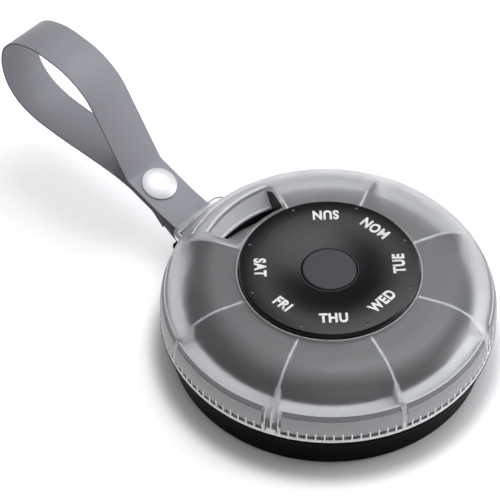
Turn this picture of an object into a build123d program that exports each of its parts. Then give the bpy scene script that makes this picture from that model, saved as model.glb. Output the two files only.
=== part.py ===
"""Rotating weekly pill organizer with a frosted cover, a turning tray and a carry strap.

The case lies flat on the table. The origin is the centre of its flat bottom face, +Z is up
and +Y points at the dispensing window and the strap lug. Sizes are millimetres.
"""
import math
import os

from build123d import *

os.makedirs("parts", exist_ok=True)

# Case: the base and the cover that snaps over its collar
case_radius = 45.0          # outside of the cover's skirt
rim_height = 12.6           # top of the base's rim, where the cover's lip sits
skirt_height = 4.0          # upright part of the cover above its lip
cover_height = 16.6         # flat top of the cover above the base's rim
cover_land = 6.76           # width of the flat top, from its centre hole to the shoulder
cover_wall = 1.4
hole_bevel = 0.35
base_step = 1.0             # the rim of the base is this much smaller than the cover
base_draft = 1.5            # the barrel-shaped wall draws in this much at the bottom
base_bulge = 0.4            # and this much half way up
base_edge = 2.2             # rounding of the bottom edge
base_floor = 1.6
base_corner = 1.0           # bevel inside the bowl's corner
collar_height = 3.0         # upstand inside the cover's lip
collar_wall = 1.6
collar_gap = 0.3            # between the collar and the cover
bowl_step = 1.0             # the bowl's inside is this much smaller than the collar's
base_clear = 0.5            # between the tray and the inside of the base

# Fine detail on the cover's skirt
grip_count = 120            # fine upright ribs round the skirt
grip_width = 0.45
grip_depth = 0.25
grip_bottom = 1.0           # above the lip
grip_height = 2.1
stripe_bottom = 7.6         # sunk band over each sector, above the lip
stripe_height = 1.6
stripe_depth = 0.25
bridge_width = 1.8          # plain skirt between two bands
snap_width = 5.4            # plain skirt over each of the snap hooks
snap_count = 4
snap_bottom = 2.0           # the hooks' two channels start this far above the lip
snap_channel = 1.1          # width of a channel
snap_spacing = 2.3          # between the middles of the two channels

# Rotor: the tray with its vanes, and the dial on its hub
sector_count = 8
first_divider = 22.5        # degrees from +X, so that one sector faces the window
tray_lift = 3.0             # underside of the tray's floor
tray_floor = 1.2
tray_wall = 1.2
tray_rise = 2.0             # top of the tray's wall above the base's rim
hub_wall = 1.5
vane_thickness = 1.2
vane_gap = 0.4              # under the cover and above the collar
vane_root = 0.3             # how far a vane is sunk into the walls that carry it
dial_radius = 24.0
dial_rise = 1.65            # crest of the dial above the flat of the cover
dial_gap = 0.24             # between the dial and the hole in the cover
dial_plate = 1.4
dial_bevel = 0.4
dial_crown = 0.35           # how far the outer ring falls from the crest to the edge
dial_ring = 4.6             # width of that ring
dial_dish = 1.55            # how far the dial falls from the crest to the button
dish_middle = 0.3           # share of that fall in the outer half of the dish
dish_slope = 9.0            # degrees, beside the button
dish_bevel = 0.25           # at the edge of the button's bore
dial_skirt = 1.35
dial_skirt_depth = 4.25     # below the crest
pip_radius = 0.45           # small dimples that mark the dividers on the dial
pip_depth = 0.35
pip_inset = 1.7             # in from the dial's edge
blank_height = 7.0          # raised floor of the sector without a day
blank_wall = 1.2
insert_gap = 0.15

# Turret on the base: bearing and detent track for the rotor
turret_wall = 1.2
turret_height = 9.6         # above the base's floor
bearing_gap = 0.06
guide_wall = 1.3
head_gap = 0.34             # between the dial's screws and the guide wall
deck_thickness = 1.2
deck_gap = 0.3              # between the deck's hole and the detent ring's crests
washer_thickness = 0.7
washer_inset = 0.1          # in from both faces of the turret's wall
washer_play = 0.1           # between the washer and the deck
index_wall = 1.6            # thickness of the detent ring at its crests
index_height = 6.9
notch_depth = 0.6
notch_radius = 1.5

# Detent fork: spring fingers that hang from the hub's deck into the turret
finger_count = 4
finger_gap = 0.1            # between a fingertip and the crests of the detent ring
finger_thickness = 0.7
finger_width = 4.0
finger_bump = 0.4           # how far the tip stands out from its finger
fork_thickness = 1.2

# Button, its spring and the sleeve that blocks the fingers
button_radius = 7.3
button_gap = 0.25
button_rise = 0.3           # above the inner edge of the dial's dish
button_plate = 2.2
button_skirt = 5.1
button_skirt_wall = 1.2
button_round = 0.45
button_travel = 2.0
cup_wall = 1.35
cup_floor = 1.2
cup_lift = 1.6              # underside of the cup above the fork
stem_radius = 2.2
stem_gap = 0.08
sleeve_gap = 0.25           # between the sleeve's land and the fingers
sleeve_relief = 1.15        # its waist is this much smaller, which frees the fingers
sleeve_ramp = 0.8
sleeve_wall = 1.0
sleeve_disc = 1.2
sleeve_land = 2.0
sleeve_clear = 1.6          # over the base's floor when the button is down
seat_gap = 0.15
spring_radius = 4.4
spring_wire = 0.7
spring_seat = 0.05
spring_turns = 5.0

# Screws: three hold the dial and the fork on the deck, one holds the sleeve on the stem
screw_radius = 1.0
screw_head = 1.5
screw_head_height = 1.0
screw_gap = 0.1
pilot_gap = 0.02            # between a screw and the boss that it is driven into
screw_relief = 0.5          # depth left under a screw's end
dial_screw_length = 5.0
dial_screw_count = 3
button_screw_length = 5.0
boss_radius = 1.75
boss_gap = 0.05             # between the bosses and the hub

# Strap lug under the hood of the cover
bar_radius = 2.2
bar_offset = 1.6            # centre of the strap's pin, out from the skirt
bar_drop = 2.8              # and below the base's rim
pin_end_radius = 1.5        # the pin is stepped down where it enters the ears
pin_end_length = 1.5
pin_end_play = 0.05
pin_fit = 0.04              # between the pin and the holes in the ears
strap_width = 13.2
strap_thickness = 0.6
strap_play = 0.15           # between the strap and the pin
layer_gap = 0.1             # between the strap's layers at the rivet
recess_gap = 0.35           # between the strap and the recess behind it
recess_depth = 1.2          # below the ears
ear_gap = 0.4               # between the strap and the ears
ear_thickness = 2.4
ear_radius = 2.4
ear_web = 3.0               # height of the web below each ear
ear_root = 0.9              # length of the web inside the base's wall
ear_root_inset = 0.6
hood_overhang = 4.9         # outer edge of the hood, out from the skirt
hood_side = 1.0             # hood beyond the ears, on both sides
hood_lift = 2.0             # underside of the hood above the base's rim
hood_thickness = 1.3
hood_bar = 1.5              # bar outside the slot in the hood
hood_land = 1.3             # between the slot and the skirt
hood_cheek = 1.8            # at both ends of the slot
hood_corner = 3.6
hood_slot_corner = 0.6
hood_root = 2.4             # rounding where the hood leaves the skirt
hood_edge = 0.3             # rounding of the hood's upper edges

# Window over one sector
window_inset = 1.3          # outside the cover's centre hole
window_overrun = 4.0        # past the flat top, onto the shoulder
window_side = 0.9           # in from each divider
window_corner = 2.0
window_angle = 90.0
rib_width = 0.7             # fine rib inside the cover over each divider
rib_height = 0.2

# Rivet through the strap, placed from the pin
rivet_run = 16.8
rivet_rise = 6.6
rivet_slope = 19.0
rivet_ease = 0.9            # half length of the bends beside the rivet
rivet_seat = 0.05           # between the rivet's caps and the strap
cap_radius = 5.0
cap_height = 1.7
cap_rim = 0.5
cap_undercut = 0.3
cap_clear = 0.3             # flat strap beyond the cap
rivet_post_radius = 1.6
rivet_back_radius = 3.6
rivet_back_height = 0.9
back_round = 0.3
post_gap = 0.05

# Derived places
rim_radius = case_radius - base_step
cover_inside = case_radius - cover_wall
collar_radius = cover_inside - collar_gap
collar_inside = collar_radius - collar_wall
base_inside = collar_inside - bowl_step
tray_radius = base_inside - base_clear
hole_radius = dial_radius + dial_gap
cover_flat = hole_radius + cover_land
shoulder_run = case_radius - cover_flat
cover_top = rim_height + cover_height
shoulder_height = rim_height + skirt_height
hub_radius = dial_radius - dial_skirt - insert_gap
hub_inside = hub_radius - hub_wall
dial_screw_circle = hub_inside - boss_gap - boss_radius
turret_radius = dial_screw_circle - screw_head - head_gap - guide_wall - bearing_gap
turret_inside = turret_radius - turret_wall
turret_top = base_floor + turret_height
index_crest = turret_inside - index_wall
floor_top = tray_lift + tray_floor
dial_top = cover_top + dial_rise
dial_underside = dial_top - dial_dish - dial_plate
deck_bottom = turret_top + washer_thickness + washer_play
deck_top = deck_bottom + deck_thickness
fork_top = deck_top + fork_thickness
cup_bottom = fork_top + cup_lift
finger_outer = index_crest - finger_gap
finger_inner = finger_outer - finger_bump - finger_thickness
deck_hole = finger_outer + deck_gap
sleeve_radius = finger_inner - sleeve_gap
sleeve_waist = sleeve_radius - sleeve_relief
sleeve_bottom = base_floor + button_travel + sleeve_clear
button_top = dial_top - dial_dish + button_rise
bar_centre_y = case_radius + bar_offset
bar_height = rim_height - bar_drop
ear_inner = strap_width / 2 + ear_gap
hood_reach = case_radius + hood_overhang
hood_half_width = ear_inner + ear_thickness + hood_side
hood_bottom = rim_height + hood_lift
window_outer = cover_flat + window_overrun
dividers = [first_divider + index * 360 / sector_count for index in range(sector_count)]
pin_plane = Plane(origin=(0, bar_centre_y, bar_height), x_dir=(0, 1, 0), z_dir=(1, 0, 0))


def radial_plane(angle):
    """Upright plane through the axis: x runs outwards at this angle and y runs up."""
    turn = math.radians(angle)
    outwards = (math.cos(turn), math.sin(turn), 0)
    across = (math.sin(turn), -math.cos(turn), 0)
    return Plane(origin=(0, 0, 0), x_dir=outwards, z_dir=across)


def cut_beside_sector(centre_angle, inset):
    """Cut the open sketch back to one sector, with straight sides inside its dividers."""
    for side in (-1, 1):
        corner = (Align.CENTER, Align.MIN if side > 0 else Align.MAX)
        with Locations(Location((0, 0, 0), (0, 0, centre_angle + side * 180 / sector_count))):
            with Locations((0, -side * inset)):
                Rectangle(4 * case_radius, 2 * case_radius, align=corner, mode=Mode.SUBTRACT)


def shoulder_arc(depth):
    """Quarter of an ellipse this far inside the cover's shoulder, from the skirt to the top."""
    return EllipticalCenterArc(
        (cover_flat, shoulder_height),
        shoulder_run - depth,
        cover_top - shoulder_height - depth,
        0,
        arc_size=90,
    )


def save(piece, name):
    """Name a finished piece and write it to its own file."""
    piece.part.label = name
    export_step(piece.part, f"parts/{name}.step")


# Base: a shallow bowl with a barrel wall, a collar, a turret and two ears for the strap pin
wall_bottom = rim_radius - base_draft
wall_middle = rim_radius - base_bulge
web_bottom = bar_height - ear_radius - ear_web
with BuildPart() as base_shell:
    with BuildSketch(Plane.XZ):
        with BuildLine():
            bottom = Line((0, 0), (wall_bottom - base_edge, 0))
            edge = TangentArc(bottom @ 1, (wall_bottom, base_edge), tangent=(1, 0))
            barrel = ThreePointArc(
                edge @ 1, (wall_middle, (base_edge + rim_height) / 2), (rim_radius, rim_height)
            )
            Polyline(
                barrel @ 1,
                (collar_radius, rim_height),
                (collar_radius, rim_height + collar_height),
                (collar_inside, rim_height + collar_height),
                (collar_inside, rim_height),
                (base_inside, base_floor + base_corner),
                (base_inside - base_corner, base_floor),
                (turret_radius, base_floor),
                (turret_radius, turret_top),
                (turret_inside, turret_top),
                (turret_inside, base_floor),
                (0, base_floor),
                (0, 0),
            )
        make_face()
    revolve(axis=Axis.Z)
    # Recess behind the strap, open at the rim
    with BuildSketch(Plane.XY.offset(bar_height - ear_radius - recess_depth)):
        with Locations((0, bar_centre_y)):
            Rectangle(2 * ear_inner, 2 * (bar_radius + strap_play + strap_thickness + recess_gap))
    extrude(until=Until.LAST, mode=Mode.SUBTRACT)
    # Ears on both sides of the strap, with a hole for the pin
    for side in (-1, 1):
        with BuildSketch(Plane.YZ.offset(side * ear_inner)):
            with Locations((bar_centre_y, bar_height)):
                Circle(ear_radius)
            with Locations((base_inside + ear_root_inset, web_bottom)):
                Rectangle(ear_root, rim_height - web_bottom, align=(Align.MIN, Align.MIN))
            make_hull()
        extrude(amount=side * ear_thickness)
    with BuildSketch(pin_plane):
        Circle(pin_end_radius + pin_fit)
    extrude(amount=ear_inner + pin_end_length, both=True, mode=Mode.SUBTRACT)
save(base_shell, "base_shell")

# Detent ring: eight notches on its inside, pressed into the turret
with BuildPart() as index_ring:
    with BuildSketch(Plane.XY.offset(base_floor)):
        Circle(turret_inside)
        Circle(index_crest, mode=Mode.SUBTRACT)
        with PolarLocations(index_crest + notch_depth - notch_radius, sector_count):
            Circle(notch_radius, mode=Mode.SUBTRACT)
    extrude(amount=index_height)
save(index_ring, "index_ring")

# Slip washer between the turret and the deck of the rotor
with BuildPart() as slip_washer:
    with BuildSketch(Plane.XY.offset(turret_top)):
        Circle(turret_radius - washer_inset)
        Circle(turret_inside + washer_inset, mode=Mode.SUBTRACT)
    extrude(amount=washer_thickness)
save(slip_washer, "slip_washer")

# Steel pin that the strap swings on, stepped down into the ears
with BuildPart() as strap_bar:
    with BuildSketch(pin_plane):
        Circle(bar_radius)
    extrude(amount=ear_inner - pin_end_play, both=True)
    with BuildSketch(pin_plane):
        Circle(pin_end_radius)
    extrude(amount=ear_inner + pin_end_length - 2 * pin_end_play, both=True)
save(strap_bar, "strap_bar")

# Hood over the strap's pin: a flat tab with a slot, flared where it leaves the skirt
with BuildPart() as hood:
    with BuildSketch(Plane.XY.offset(hood_bottom)) as tab:
        Circle(hood_reach)
        Rectangle(2 * hood_half_width, hood_reach, align=(Align.CENTER, Align.MIN), mode=Mode.INTERSECT)
        fillet(tab.vertices().group_by(Axis.Y)[-1], radius=hood_corner)
        Circle(case_radius - cover_wall / 4)
        side_ends = tab.vertices().filter_by(lambda v: abs(abs(v.X) - hood_half_width) < 0.01)
        fillet(side_ends.group_by(Axis.Y)[0], radius=hood_root)
        Circle(cover_inside + cover_wall / 4, mode=Mode.SUBTRACT)
        slot_width = 2 * (hood_half_width - hood_cheek)
        with BuildSketch(Plane.XY, mode=Mode.PRIVATE) as slot:
            Circle(hood_reach - hood_bar)
            Circle(case_radius + hood_land, mode=Mode.SUBTRACT)
            Rectangle(slot_width, hood_reach, align=(Align.CENTER, Align.MIN), mode=Mode.INTERSECT)
            fillet(slot.vertices(), radius=hood_slot_corner)
        add(slot.sketch, mode=Mode.SUBTRACT)
    extrude(amount=hood_thickness)
    upper = hood.faces().sort_by(Axis.Z)[-1]
    fillet(upper.edges(), radius=hood_edge)

# Cover: one revolved shell with the hood, the window, ribs inside and fine detail on its skirt
snap_angles = dividers[:: sector_count // snap_count]
with BuildPart() as cover:
    with BuildSketch(Plane.XZ):
        with BuildLine():
            lip = Line((cover_inside, rim_height), (case_radius, rim_height))
            Line(lip @ 1, (case_radius, shoulder_height))
            outside = shoulder_arc(0)
            top = Line(outside @ 1, (hole_radius + hole_bevel, cover_top))
            bevel = Line(top @ 1, (hole_radius, cover_top - hole_bevel))
            hole = Line(bevel @ 1, (hole_radius, cover_top - cover_wall))
            Line(hole @ 1, (cover_flat, cover_top - cover_wall))
            inside = shoulder_arc(cover_wall)
            Line(inside @ 0, lip @ 0)
        make_face()
    revolve(axis=Axis.Z)
    # Grip: a sunk band with fine upright ribs, plain over the dividers and the snap hooks
    with BuildSketch(Plane.XY.offset(rim_height + grip_bottom)):
        Circle(case_radius + grip_depth)
        Circle(case_radius - grip_depth, mode=Mode.SUBTRACT)
        plain = ((grip_count, grip_width), (sector_count, bridge_width), (snap_count, snap_width))
        for count, width in plain:
            with PolarLocations(case_radius, count, start_angle=first_divider):
                Rectangle(4 * grip_depth, width, mode=Mode.SUBTRACT)
    extrude(amount=grip_height, mode=Mode.SUBTRACT)
    # Two channels beside each snap hook, which run out on the shoulder
    with BuildSketch(Plane.XY.offset(rim_height + snap_bottom)):
        with PolarLocations(case_radius, snap_count, start_angle=first_divider):
            with GridLocations(0, snap_spacing, 1, 2):
                Rectangle(2 * grip_depth, snap_channel)
    extrude(amount=skirt_height + stripe_height, mode=Mode.SUBTRACT)
    # Sunk band low on the shoulder, over each sector
    for start, end in zip(dividers, dividers[1:] + [dividers[0] + 360]):
        first_plain = snap_width if start in snap_angles else bridge_width
        last_plain = bridge_width if start in snap_angles else snap_width
        first_angle = start + math.degrees(math.asin(first_plain / 2 / case_radius))
        last_angle = end - math.degrees(math.asin(last_plain / 2 / case_radius))
        with BuildSketch(radial_plane(first_angle)):
            with BuildLine():
                sunk = shoulder_arc(stripe_depth)
                clear = shoulder_arc(-stripe_depth)
                Line(sunk @ 0, clear @ 0)
                Line(sunk @ 1, clear @ 1)
            make_face()
            with Locations((case_radius, rim_height + stripe_bottom)):
                Rectangle(
                    shoulder_run,
                    stripe_height,
                    align=(Align.CENTER, Align.MIN),
                    mode=Mode.INTERSECT,
                )
        revolve(axis=Axis.Z, revolution_arc=last_angle - first_angle, mode=Mode.SUBTRACT)
    add(hood.part)
    # Window between two dividers
    with BuildSketch(Plane.XY.offset(shoulder_height)) as window:
        Circle(window_outer)
        Circle(hole_radius + window_inset, mode=Mode.SUBTRACT)
        cut_beside_sector(window_angle, window_side)
        fillet(window.vertices(), radius=window_corner)
    extrude(amount=cover_height, mode=Mode.SUBTRACT)
    # Fine rib inside, over each divider
    for angle in dividers:
        with BuildSketch(radial_plane(angle)):
            with BuildLine():
                face = shoulder_arc(cover_wall + rib_height)
                buried = shoulder_arc(cover_wall / 2)
                rib_end = hole_radius + window_inset
                Polyline(face @ 1, (rib_end, (face @ 1).Y), (rib_end, (buried @ 1).Y), buried @ 1)
                Line(face @ 0, buried @ 0)
            make_face()
        extrude(amount=rib_width / 2, both=True)
save(cover, "cover")

# Tray: hub, floor and outer wall in one revolve, then a vane on every divider
guide_radius = turret_radius + bearing_gap
vane_top = cover_top - cover_wall - vane_gap
vane_step = rim_height + collar_height + vane_gap
dial_skirt_bottom = dial_top - dial_skirt_depth
tray_wall_top = rim_height + tray_rise
with BuildPart() as tray:
    with BuildSketch(Plane.XZ):
        with BuildLine():
            Polyline(
                (guide_radius, tray_lift),
                (guide_radius + guide_wall, tray_lift),
                (guide_radius + guide_wall, deck_bottom),
                (hub_inside, deck_bottom),
                (hub_inside, tray_lift),
                (tray_radius, tray_lift),
                (tray_radius, tray_wall_top),
                (tray_radius - tray_wall, tray_wall_top),
                (tray_radius - tray_wall, floor_top),
                (hub_radius, floor_top),
                (hub_radius, dial_underside),
                (hub_inside, dial_underside),
                (hub_inside, deck_top),
                (deck_hole, deck_top),
                (deck_hole, deck_bottom),
                (guide_radius, deck_bottom),
                close=True,
            )
        make_face()
    revolve(axis=Axis.Z)
    # Vanes: over the collar to the cover's wall, and close under its shoulder
    for angle in dividers:
        with BuildSketch(radial_plane(angle)):
            with BuildLine():
                arch = shoulder_arc(cover_wall + vane_gap)
                Polyline(
                    arch @ 1,
                    (hole_radius, vane_top),
                    (hole_radius, dial_skirt_bottom - vane_root),
                    (hub_radius - vane_root, dial_skirt_bottom - vane_root),
                    (hub_radius - vane_root, floor_top - vane_root),
                    (tray_radius - vane_root, floor_top - vane_root),
                    (tray_radius - vane_root, vane_step),
                    (cover_inside - vane_gap, vane_step),
                    arch @ 0,
                )
            make_face()
        extrude(amount=vane_thickness / 2, both=True)
    # Holes for the dial's screws through the deck
    with BuildSketch(Plane.XY.offset(deck_bottom)):
        with PolarLocations(dial_screw_circle, dial_screw_count, start_angle=window_angle):
            Circle(screw_radius + screw_gap)
    extrude(amount=deck_thickness, mode=Mode.SUBTRACT)
save(tray, "tray")

# Raised floor of the sector without a day: a shallow box, open below
with BuildPart() as blank_plate:
    with BuildSketch(Plane.XY.offset(floor_top)):
        Circle(tray_radius - tray_wall - insert_gap)
        Circle(hub_radius + insert_gap, mode=Mode.SUBTRACT)
        cut_beside_sector(window_angle, vane_thickness / 2 + insert_gap)
    extrude(amount=blank_height)
    with BuildSketch(Plane.XY.offset(floor_top)):
        Circle(tray_radius - tray_wall - insert_gap - blank_wall)
        Circle(hub_radius + insert_gap + blank_wall, mode=Mode.SUBTRACT)
        cut_beside_sector(window_angle, vane_thickness / 2 + insert_gap + blank_wall)
    extrude(amount=blank_height - blank_wall, mode=Mode.SUBTRACT)
save(blank_plate, "blank_plate")

# Detent fork: a ring on the deck whose fingers reach down into the turret
with BuildPart() as detent_fork:
    with BuildSketch(Plane.XY.offset(deck_top)):
        Circle(hub_inside - insert_gap)
        Circle(finger_inner, mode=Mode.SUBTRACT)
        with PolarLocations(dial_screw_circle, dial_screw_count, start_angle=window_angle):
            Circle(screw_radius + screw_gap, mode=Mode.SUBTRACT)
    extrude(amount=fork_thickness)
    with BuildSketch(Plane.XY.offset(sleeve_bottom)):
        with PolarLocations(finger_inner + finger_thickness / 2, finger_count):
            Rectangle(finger_thickness, finger_width)
    extrude(amount=fork_top - sleeve_bottom)
    tip_radius = (finger_outer - finger_inner) / 2
    with BuildSketch(Plane.XY.offset(sleeve_bottom)):
        with PolarLocations(finger_inner + tip_radius, finger_count):
            Circle(tip_radius)
    extrude(amount=sleeve_land)
save(detent_fork, "detent_fork")

# Dial: a dished disc with a short skirt, a cup for the button and three screw bosses
bore_radius = button_radius + button_gap
cup_radius = bore_radius + cup_wall
crest_radius = dial_radius - dial_ring
dish_height = dial_top - dial_dish
dish_edge = bore_radius + dish_bevel
dish_end = math.radians(dish_slope)
edge_height = dial_top - dial_crown
cup_floor_top = cup_bottom + cup_floor
with BuildPart() as dial:
    with BuildSketch(Plane.XZ):
        with BuildLine():
            dish = Spline(
                (crest_radius, dial_top),
                ((crest_radius + dish_edge) / 2, dial_top - dish_middle * dial_dish),
                (dish_edge, dish_height),
                tangents=[(-1, 0), (-math.cos(dish_end), -math.sin(dish_end))],
            )
            ring = TangentArc(dish @ 0, (dial_radius - dial_bevel, edge_height), tangent=(1, 0))
            Polyline(
                dish @ 1,
                (bore_radius, dish_height - dish_bevel),
                (bore_radius, cup_floor_top),
                (stem_radius + stem_gap, cup_floor_top),
                (stem_radius + stem_gap, cup_bottom),
                (cup_radius, cup_bottom),
                (cup_radius, dial_underside),
                (dial_radius - dial_skirt, dial_underside),
                (dial_radius - dial_skirt, dial_skirt_bottom),
                (dial_radius, dial_skirt_bottom),
                (dial_radius, edge_height - dial_bevel),
                ring @ 1,
            )
        make_face()
    revolve(axis=Axis.Z)
    with BuildSketch(Plane.XY.offset(fork_top)):
        with PolarLocations(dial_screw_circle, dial_screw_count, start_angle=window_angle):
            Circle(boss_radius)
    extrude(amount=dial_underside - fork_top + dial_plate / 2)
    with BuildSketch(Plane.XY.offset(fork_top)):
        with PolarLocations(dial_screw_circle, dial_screw_count, start_angle=window_angle):
            Circle(screw_radius + pilot_gap)
    extrude(amount=dial_screw_length, mode=Mode.SUBTRACT)
    with BuildSketch(Plane.XY.offset(edge_height - pip_depth)):
        with PolarLocations(dial_radius - pip_inset, sector_count, start_angle=first_divider):
            Circle(pip_radius)
    extrude(amount=pip_depth + dial_crown, mode=Mode.SUBTRACT)
save(dial, "dial")

# Screws that hold the dial and the fork on the deck, driven from below
with BuildPart() as dial_screws:
    with BuildSketch(Plane.XY.offset(deck_bottom - screw_head_height)):
        with PolarLocations(dial_screw_circle, dial_screw_count, start_angle=window_angle):
            Circle(screw_head)
    extrude(amount=screw_head_height)
    with BuildSketch(Plane.XY.offset(deck_bottom)):
        with PolarLocations(dial_screw_circle, dial_screw_count, start_angle=window_angle):
            Circle(screw_radius)
    extrude(amount=deck_thickness + fork_thickness + dial_screw_length - screw_relief)
save(dial_screws, "dial_screws")

# Button: a cap with a skirt that runs in the dial's cup, and a stem
plate_bottom = button_top - button_plate
sleeve_top = cup_bottom - seat_gap
with BuildPart() as button_cap:
    with BuildSketch(Plane.XZ):
        with BuildLine():
            crown = Line((0, button_top), (button_radius - button_round, button_top))
            shoulder = TangentArc(
                crown @ 1, (button_radius, button_top - button_round), tangent=(1, 0)
            )
            Polyline(
                shoulder @ 1,
                (button_radius, plate_bottom - button_skirt),
                (button_radius - button_skirt_wall, plate_bottom - button_skirt),
                (button_radius - button_skirt_wall, plate_bottom),
                (stem_radius, plate_bottom),
                (stem_radius, sleeve_top),
                (screw_radius + pilot_gap, sleeve_top),
                (screw_radius + pilot_gap, sleeve_top + button_screw_length),
                (0, sleeve_top + button_screw_length),
                (0, button_top),
            )
        make_face()
    revolve(axis=Axis.Z)
save(button_cap, "button_cap")

# Lock sleeve on the stem: its wide land keeps the fingers in the notches until it moves down
sleeve_disc_bottom = sleeve_top - sleeve_disc
with BuildPart() as lock_sleeve:
    with BuildSketch(Plane.XZ):
        with BuildLine():
            Polyline(
                (screw_radius + screw_gap, sleeve_top),
                (sleeve_waist, sleeve_top),
                (sleeve_waist, sleeve_bottom + sleeve_land + sleeve_ramp),
                (sleeve_radius, sleeve_bottom + sleeve_land),
                (sleeve_radius, sleeve_bottom),
                (sleeve_waist - sleeve_wall, sleeve_bottom),
                (sleeve_waist - sleeve_wall, sleeve_disc_bottom),
                (screw_radius + screw_gap, sleeve_disc_bottom),
                close=True,
            )
        make_face()
    revolve(axis=Axis.Z)
save(lock_sleeve, "lock_sleeve")

# Screw that holds the sleeve on the stem
with BuildPart() as button_screw:
    with BuildSketch(Plane.XY.offset(sleeve_disc_bottom - screw_head_height)):
        Circle(screw_head)
    extrude(amount=screw_head_height)
    with BuildSketch(Plane.XY.offset(sleeve_disc_bottom)):
        Circle(screw_radius)
    extrude(amount=sleeve_disc + button_screw_length - screw_relief)
save(button_screw, "button_screw")

# Return spring between the cup's floor and the button
spring_bottom = cup_floor_top + spring_wire / 2 + spring_seat
spring_height = plate_bottom - cup_floor_top - spring_wire - 2 * spring_seat
with BuildPart() as return_spring:
    with BuildLine():
        coil = Helix(
            pitch=spring_height / spring_turns,
            height=spring_height,
            radius=spring_radius,
            center=(0, 0, spring_bottom),
        )
    with BuildSketch(Plane(origin=coil @ 0, z_dir=coil % 0)):
        Circle(spring_wire / 2)
    sweep(is_frenet=True)
save(return_spring, "return_spring")

# Strap: one strip round the pin, folded into a loop, its three layers held by a rivet
strand = strap_thickness / 2
layer_pitch = strap_thickness + layer_gap
wrap = bar_radius + strap_play + strand
slope = math.radians(rivet_slope)


def layer_point(along, layer):
    """Point on a layer at the rivet: along the strap, and up from the middle layer."""
    return (
        rivet_run + along * math.cos(slope) - layer * layer_pitch * math.sin(slope),
        rivet_rise + along * math.sin(slope) + layer * layer_pitch * math.cos(slope),
    )


def wrap_corner(point, side):
    """Corner behind the pin, between the run from this point and an upright run."""
    touch = math.atan2(point[1], point[0]) + side * math.acos(wrap / math.hypot(*point))
    middle = (touch + side * math.pi) / 2
    reach = wrap / math.cos(side * math.pi - middle)
    return (reach * math.cos(middle), reach * math.sin(middle))


def route_radii(points):
    """Bend at each inner point of the strap: as smooth as its runs allow, tight where it is held."""
    radii = []
    for before, here, after in zip(points, points[1:], points[2:]):
        run_in = Vector(*here) - Vector(*before)
        run_out = Vector(*after) - Vector(*here)
        half_turn = math.radians(run_in.get_angle(run_out)) / 2
        ease = rivet_ease if here in rivet_corners else 0.45 * min(run_in.length, run_out.length)
        radii.append(0.99 * wrap if here in pin_corners else ease / math.tan(half_turn))
    return radii


# The route lies in the plane across the pin: y runs outwards and z up, both from its centre
under_run = (6.4, 0.1)
back_reach = rivet_back_radius + rivet_ease
cap_reach = cap_radius + cap_clear + rivet_ease
pin_corners = [wrap_corner(under_run, -1), wrap_corner(layer_point(-cap_reach, 1), 1)]
rivet_corners = [
    layer_point(back_reach, 0),
    layer_point(-back_reach, 0),
    layer_point(-cap_reach, 1),
    layer_point(cap_reach, 1),
    layer_point(back_reach, -1),
    layer_point(-back_reach, -1),
]
strap_route = [
    (28.0, 10.2),
    rivet_corners[0],
    rivet_corners[1],
    under_run,
    pin_corners[0],
    pin_corners[1],
    rivet_corners[2],
    rivet_corners[3],
    (37.2, 31.8),
    (45.4, 36.2),
    (57.9, 37.2),
    (66.2, 34.4),
    (71.0, 29.2),
    (72.0, 22.2),
    (70.4, 15.8),
    (66.0, 11.4),
    (59.4, 9.2),
    (49.4, 8.6),
    (37.4, 8.7),
    (27.4, 8.5),
    rivet_corners[4],
    rivet_corners[5],
    (8.9, 0.7),
]
bends = route_radii(strap_route)
print("strap bends", [round(bend, 1) for bend in bends])
stack_half = 1.5 * strap_thickness + layer_gap
rivet_centre = Vector(0, bar_centre_y + rivet_run, bar_height + rivet_rise)
rivet_axis = Vector(0, -math.sin(slope), math.cos(slope))
rivet_side = Plane(origin=rivet_centre, x_dir=(1, 0, 0), z_dir=(0, -math.cos(slope), -math.sin(slope)))
with BuildPart() as strap:
    with BuildSketch(pin_plane):
        with BuildLine():
            FilletPolyline(*strap_route, radius=bends)
        trace(line_width=strap_thickness)
    extrude(amount=strap_width / 2, both=True)
    # Hole through the three layers for the rivet's post
    with BuildSketch(Plane(origin=rivet_centre, z_dir=rivet_axis)):
        Circle(rivet_post_radius + post_gap)
    extrude(amount=stack_half + strap_thickness, both=True, mode=Mode.SUBTRACT)
save(strap, "strap")

# Rivet: a domed cap on a post, and a flat cap pressed onto the post from below
post_end = -stack_half - rivet_back_height / 2
with BuildPart() as rivet_cap:
    with BuildSketch(rivet_side):
        with BuildLine():
            crest = (0, stack_half + cap_height)
            dome = TangentArc(crest, (cap_radius, stack_half + cap_rim), tangent=(1, 0))
            Polyline(
                dome @ 1,
                (cap_radius - cap_undercut, stack_half + rivet_seat),
                (rivet_post_radius, stack_half + rivet_seat),
                (rivet_post_radius, post_end),
                (0, post_end),
                crest,
            )
        make_face()
    revolve(axis=Axis(rivet_centre, rivet_axis))
save(rivet_cap, "rivet_cap")

back_top = -stack_half - rivet_seat
back_bottom = -stack_half - rivet_back_height
with BuildPart() as rivet_back:
    with BuildSketch(rivet_side):
        with BuildLine():
            Polyline(
                (rivet_post_radius, back_top),
                (rivet_back_radius - back_round, back_top),
                (rivet_back_radius, back_top - back_round),
                (rivet_back_radius - back_round, back_bottom),
                (0, back_bottom),
                (0, post_end),
                (rivet_post_radius, post_end),
                close=True,
            )
        make_face()
    revolve(axis=Axis(rivet_centre, rivet_axis))
save(rivet_back, "rivet_back")
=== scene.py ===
"""A round weekly pill organizer: black base, turning tray, frosted cover, dished dial and strap.

The case lies on a white studio floor. Every size below is in metres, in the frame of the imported
model: +Z is the dial's axis, +Y points at the dispensing window and the strap. Turned sections
and the widths that go with them are in mm, outwards from that axis and up from the floor.
"""
import math

import bmesh
import bpy
from mathutils import Matrix, Vector
from mathutils.bvhtree import BVHTree


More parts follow.
